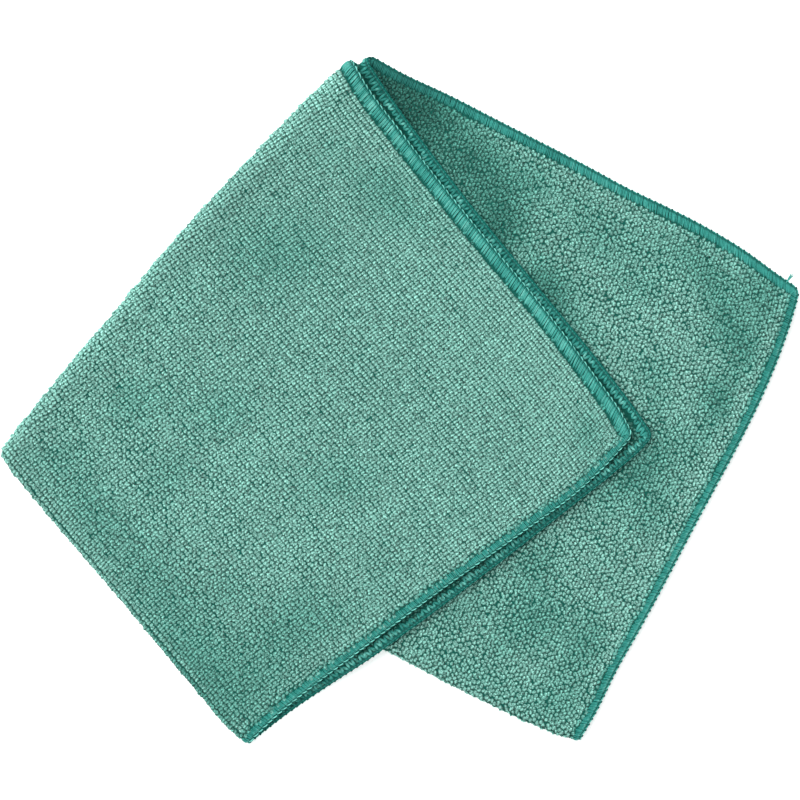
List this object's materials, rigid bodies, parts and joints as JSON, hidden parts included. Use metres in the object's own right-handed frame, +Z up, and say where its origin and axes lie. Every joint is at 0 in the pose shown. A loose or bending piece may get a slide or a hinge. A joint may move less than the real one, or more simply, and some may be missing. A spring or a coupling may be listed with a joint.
{
  "type": "folded microfibre cleaning cloth",
  "caption": "Square looped microfibre cloth with overlocked edges, folded in half and then across at a slant, lying flat.",
  "frame": {"origin": "middle of the bounding box, on the surface the cloth lies on", "axes": "+Z up, +X to the right and +Y up the page when the cloth is seen from straight above, with the slanted fold at the upper left"},
  "size_m": [0.322, 0.278, 0.0179],
  "materials": {
    "microfibre": "soft matte looped pile",
    "overlock_thread": "soft low sheen thread"
  },
  "bodies": {
    "root": {"cloth": "microfibre"}
  },
  "joints": []
}
